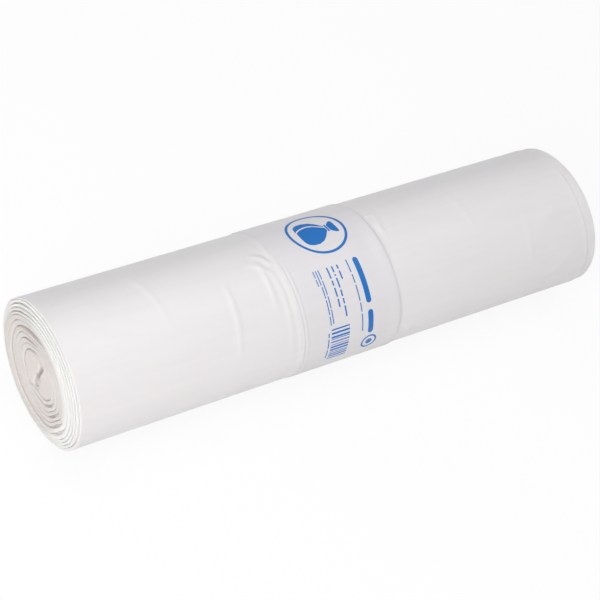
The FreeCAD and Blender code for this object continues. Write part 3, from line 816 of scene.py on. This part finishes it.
# The print: one ink in plain shapes, in millimetres along the roll and along the run from the oval's top.
label = dict(
    lift=0.03 * mm,
    depth=0.05 * mm,
    emblem=(-0.5, -8.7),
    emblemRing=(13.2, 14.5),
    badge=(8.5, 54.0),
    badgeRing=(3.3, 4.2),
    badgeDot=(0.02, 1.7),
    # bars of the heading, one for each word: start and end of the run, low and high side
    heading=((11.0, 33.0, 6.7, 9.5), (36.2, 48.2, 6.7, 9.5)),
    # lines of small print: place along the roll, height, and the ends of each dash
    lines=(
        (3.5, 0.55, (11, 17.5, 18.3, 22.6, 23.4, 31.0, 31.8, 36.2, 37.0, 46.0)),
        (-2.0, 0.75, (12, 14.2, 15.0, 19.2)),
        (-4.8, 0.75, (12, 15.2, 16.0, 17.0, 17.8, 22.6, 23.4, 26.6, 27.4, 30.0, 30.8, 36.0)),
        (-7.5, 0.75, (12, 17.6, 18.4, 21.0, 21.8, 26.2, 27.0, 31.0)),
        (-12.2, 0.5, (12, 16.6, 17.2, 24.0, 24.6, 30.2, 30.8, 37.5)),
        (-13.6, 0.5, (12, 19.2, 19.8, 25.4, 26.0, 33.0, 33.6, 38.0)),
        (-15.0, 0.5, (12, 15.4, 16.0, 19.4)),
        (-15.0, 0.6, (41.5, 43.8, 44.6, 50.0, 50.8, 56.4)),
    ),
    bars=(40.0, 58.3, -13.6, -3.6),
    barWidths=(0.4, 0.7, 1.0),
    barDraws=80,
    headingCorner=1.75,
    barCorner=0.05,
    cornerSteps=7,
    blockStep=1.2,
    columns=5,
    ringSteps=120,
    sharpAngle=35,
)


def bandPad(x, run, closed=False):
    # a thin closed pad of ink, with rows along the shape and columns across it: its top stands above the
    # band's own relief and its floor lies inside the band
    x, run = x * mm, run * mm
    direction = directionAt(run)
    reach = ovalReach(direction, band["grow"] + band["thickness"]) + bandRelief(x, run)[0]
    reach = np.concatenate([reach + label["lift"], reach[:, ::-1] - label["depth"]], 1)
    x, run, direction = (np.concatenate([values, values[:, ::-1]], 1) for values in (x, run, direction))
    points = np.stack([x, reach * np.cos(direction), ovalMiddle + reach * np.sin(direction)], -1)
    uv = np.stack([x, run], -1)
    if not closed:
        points = np.stack([shutEnds(points[..., axis]) for axis in range(3)], -1)
        uv = np.concatenate([uv[:1], uv, uv[-1:]])
    faces = gridFaces(*points.shape[:2], closedRows=closed, closedColumns=True)
    return points.reshape(-1, 3), faces, uv.reshape(-1, 2)


# a block whose corners are rounded: the half height loses r - (r^2 - d^2)^(1/2) over the last r of its run
def roundedPad(start, end, low, high, corner):
    corner = min(corner, (end - start) / 2, (high - low) / 2)
    turned = corner * (1 - np.cos(np.linspace(0, np.pi / 2, label["cornerSteps"])))
    samples = max(int((end - start) / label["blockStep"]), 1) + 1
    straight = np.linspace(start + corner, end - corner, samples)[1:-1]
    run = np.concatenate([start + turned, straight, end - turned[::-1]])
    beyond = np.maximum(corner - np.minimum(run - start, end - run), 0)
    inset = corner - np.sqrt(np.maximum(corner ** 2 - beyond ** 2, 0))
    x = (low + inset)[:, None] + (high - low - 2 * inset)[:, None] * np.linspace(0, 1, label["columns"])
    return bandPad(x, np.broadcast_to(run[:, None], x.shape))


def ringPad(centre, inner, outer):
    angle = np.linspace(0, 2 * np.pi, label["ringSteps"], endpoint=False)[:, None]
    radius = inner + (outer - inner) * np.linspace(0, 1, label["columns"])
    return bandPad(centre[0] + radius * np.cos(angle), centre[1] + radius * np.sin(angle), closed=True)


# The emblem: a tied bag in a ring. Its half widths are given from the foot of the bag to the ruffle.
bagShape = dict(
    heights=(-9.6, -9.3, -8.2, -6.0, -3.0, 0.0, 2.4, 4.0, 4.9),
    widths=(3.2, 5.4, 7.2, 8.2, 8.3, 7.2, 5.0, 2.9, 1.9),
    ruffleHeights=(6.5, 7.3, 8.6, 9.8, 10.3),
    ruffleWidths=(1.7, 2.8, 3.9, 4.4, 3.4),
    crease=(0.9, 3.9, 0.45),        # how far the pale crease bows, its place and half its width
    creaseBow=(-2.5, 7.0),          # where the bow is widest, and half of the height that it takes
    leastWidth=0.05,
    tie=(2.6, 5.25, 6.15),          # half the tie's length, its low and its high side
    tieCorner=0.4,
    rows=(40, 16),
    columns=(13, 11),
)


def bagPads():
    # the bag in two pads with a pale crease between them, its ruffle and its tie
    shape = bagShape
    along, around = label["emblem"]
    height = np.linspace(shape["heights"][0], shape["heights"][-1], shape["rows"][0])[:, None]
    width = np.interp(height, shape["heights"], shape["widths"])
    bow, place, half = shape["crease"]
    crease = -place * width / max(shape["widths"]) - bow * hump(height, *shape["creaseBow"])
    share = np.linspace(1, 0, shape["columns"][0])
    shapes = [(height, low + (high - low) * share) for low, high in (
        (-width, np.maximum(crease - half, -width + shape["leastWidth"])), (crease + half, width))]
    height = np.linspace(shape["ruffleHeights"][0], shape["ruffleHeights"][-1], shape["rows"][1])[:, None]
    width = np.interp(height, shape["ruffleHeights"], shape["ruffleWidths"])
    shapes.append((height, width * np.linspace(1, -1, shape["columns"][1])))
    pads = [bandPad(np.broadcast_to(along + height, run.shape), around + run) for height, run in shapes]
    reach, low, high = shape["tie"]
    return pads + [roundedPad(around - reach, around + reach, along + low, along + high, shape["tieCorner"])]


def barEnds():
    # starts and ends of bars of uneven widths, up to the end of the block
    start, end = label["bars"][:2]
    widths = np.random.default_rng(41).choice(label["barWidths"], label["barDraws"])
    places = start + np.concatenate([[0], np.cumsum(widths)])
    places = places[places <= end]
    return places[:len(places) // 2 * 2].reshape(-1, 2)


def makePrint():
    pads = [ringPad(label["emblem"], *label["emblemRing"]), ringPad(label["badge"], *label["badgeRing"]),
            ringPad(label["badge"], *label["badgeDot"])]
    pads += bagPads()
    pads += [roundedPad(*block, label["headingCorner"]) for block in label["heading"]]
    for place, height, ends in label["lines"]:
        pads += [roundedPad(start, end, place - height / 2, place + height / 2, height / 2)
                 for start, end in zip(ends[::2], ends[1::2])]
    pads += [roundedPad(start, end, *label["bars"][2:], label["barCorner"]) for start, end in barEnds()]
    padPoints, padFaces, padUvs = zip(*pads)
    starts = np.cumsum([0] + [len(points) for points in padPoints[:-1]])
    faces = np.concatenate([faces + start for faces, start in zip(padFaces, starts)])
    piece = addPiece("bandPrint", np.concatenate(padPoints), faces, printInk, np.concatenate(padUvs),
                     label["sharpAngle"])
    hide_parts("label_band")
    print("bin bag roll: print,", len(pads), "shapes,", len(faces), "faces")


makeOuterFilm()
makeFilmTurns()
makeSaggedPlies()
makeCore()
makeBand()
makePrint()


# Camera and studio.
studio = dict(
    azimuth=-44.62,
    elevation=46.59,
    distance=0.8996,
    roll=18.0,
    lens=115.14,
    sensor=36,
    farthest=50,
    aim=(-5.24 * mm, 0.0, -5.98 * mm + ovalMiddle),
    floorHalf=3.0,
    floorColour=(0.9, 0.9, 0.9),
    floorRoughness=0.9,
    floorShine=0.1,
    floorWhite=0.88,    # share of plain white that the camera sees in the floor
    backdrop=(0.98, 0.985, 1.0),
    backdropStrength=0.27,
    # name, place, target, size, power and colour
    lights=(
        ("frontLeftBox", (-0.75, -0.55, 0.75), (-0.03, 0, 0.03), (0.7, 0.9), 9.6, (1.0, 0.99, 0.96)),
        ("overheadBox", (0.08, -0.07, 0.9), (0.08, -0.07, 0), (0.76, 1.07), 1.5, (1, 1, 1)),
        ("highBox", (0.1, 0.1, 1.4), (0, 0, 0), (1.2, 1.2), 3.5, (1, 1, 1)),
        ("backBox", (-0.2, 0.9, 0.8), (0, 0, 0.03), (1.0, 0.7), 1.9, (1, 1, 1)),
    ),
)


def addCamera():
    azimuth, elevation, roll = (math.radians(studio[key]) for key in ("azimuth", "elevation", "roll"))
    back = Vector((math.sin(azimuth) * math.cos(elevation), -math.cos(azimuth) * math.cos(elevation),
                   math.sin(elevation)))
    right = (-back).cross(Vector((0, 0, 1))).normalized()
    up = right.cross(-back)
    right, up = (math.cos(roll) * right + math.sin(roll) * up, math.cos(roll) * up - math.sin(roll) * right)
    camera = bpy.data.objects.new("camera", bpy.data.cameras.new("camera"))
    camera.data.lens = studio["lens"]
    camera.data.sensor_width = studio["sensor"]
    camera.data.clip_end = studio["farthest"]
    camera.matrix_world = Matrix.Translation(Vector(studio["aim"]) + back * studio["distance"]) @ Matrix(
        (right, up, back)).transposed().to_4x4()
    bpy.context.scene.collection.objects.link(camera)
    bpy.context.scene.camera = camera


def addFloor():
    half = studio["floorHalf"]
    corners = [(-half, -half, 0), (half, -half, 0), (half, half, 0), (-half, half, 0)]
    mesh = bpy.data.meshes.new("floor")
    mesh.from_pydata(corners, [], [(0, 1, 2, 3)])
    material = bpy.data.materials.new("floorPaint")
    material.use_nodes = True
    nodes, links = material.node_tree.nodes, material.node_tree.links
    shader = nodes["Principled BSDF"]
    shader.inputs["Base Color"].default_value = (*studio["floorColour"], 1)
    shader.inputs["Roughness"].default_value = studio["floorRoughness"]
    shader.inputs["Specular IOR Level"].default_value = studio["floorShine"]
    white = addNode(material.node_tree, "ShaderNodeEmission", {"Color": (1, 1, 1, 1), "Strength": 1.0})
    path = nodes.new("ShaderNodeLightPath")
    seen = addNode(material.node_tree, "ShaderNodeMath", {1: studio["floorWhite"]}, operation="MULTIPLY")
    mix = nodes.new("ShaderNodeMixShader")
    links.new(path.outputs["Is Camera Ray"], seen.inputs[0])
    links.new(seen.outputs["Value"], mix.inputs["Fac"])
    links.new(shader.outputs["BSDF"], mix.inputs[1])
    links.new(white.outputs["Emission"], mix.inputs[2])
    links.new(mix.outputs["Shader"], nodes["Material Output"].inputs["Surface"])
    mesh.materials.append(material)
    floor = bpy.data.objects.new("floor", mesh)
    bpy.context.scene.collection.objects.link(floor)


def addLight(name, place, target, size, power, colour):
    light = bpy.data.lights.new(name, "AREA")
    light.shape = "RECTANGLE"
    light.size, light.size_y = size
    light.energy = power
    light.color = colour
    lamp = bpy.data.objects.new(name, light)
    lamp.location = place
    lamp.rotation_mode = "QUATERNION"
    lamp.rotation_quaternion = (Vector(target) - Vector(place)).to_track_quat("-Z", "Y")
    bpy.context.scene.collection.objects.link(lamp)


def addWorld():
    # a soft light from all round that the camera sees as plain white
    world = bpy.data.worlds.new("studio")
    world.use_nodes = True
    nodes, links = world.node_tree.nodes, world.node_tree.links
    backdrop = nodes["Background"]
    backdrop.inputs["Color"].default_value = (*studio["backdrop"], 1)
    backdrop.inputs["Strength"].default_value = studio["backdropStrength"]
    seen = addNode(world.node_tree, "ShaderNodeBackground", {"Color": (1, 1, 1, 1), "Strength": 1.0})
    path = nodes.new("ShaderNodeLightPath")
    mix = nodes.new("ShaderNodeMixShader")
    links.new(path.outputs["Is Camera Ray"], mix.inputs["Fac"])
    links.new(backdrop.outputs["Background"], mix.inputs[1])
    links.new(seen.outputs["Background"], mix.inputs[2])
    links.new(mix.outputs["Shader"], nodes["World Output"].inputs["Surface"])
    bpy.context.scene.world = world


addCamera()
addFloor()
addWorld()
for values in studio["lights"]:
    addLight(*values)
bpy.context.scene.view_settings.view_transform = "Standard"
print("bin bag roll: studio ready")
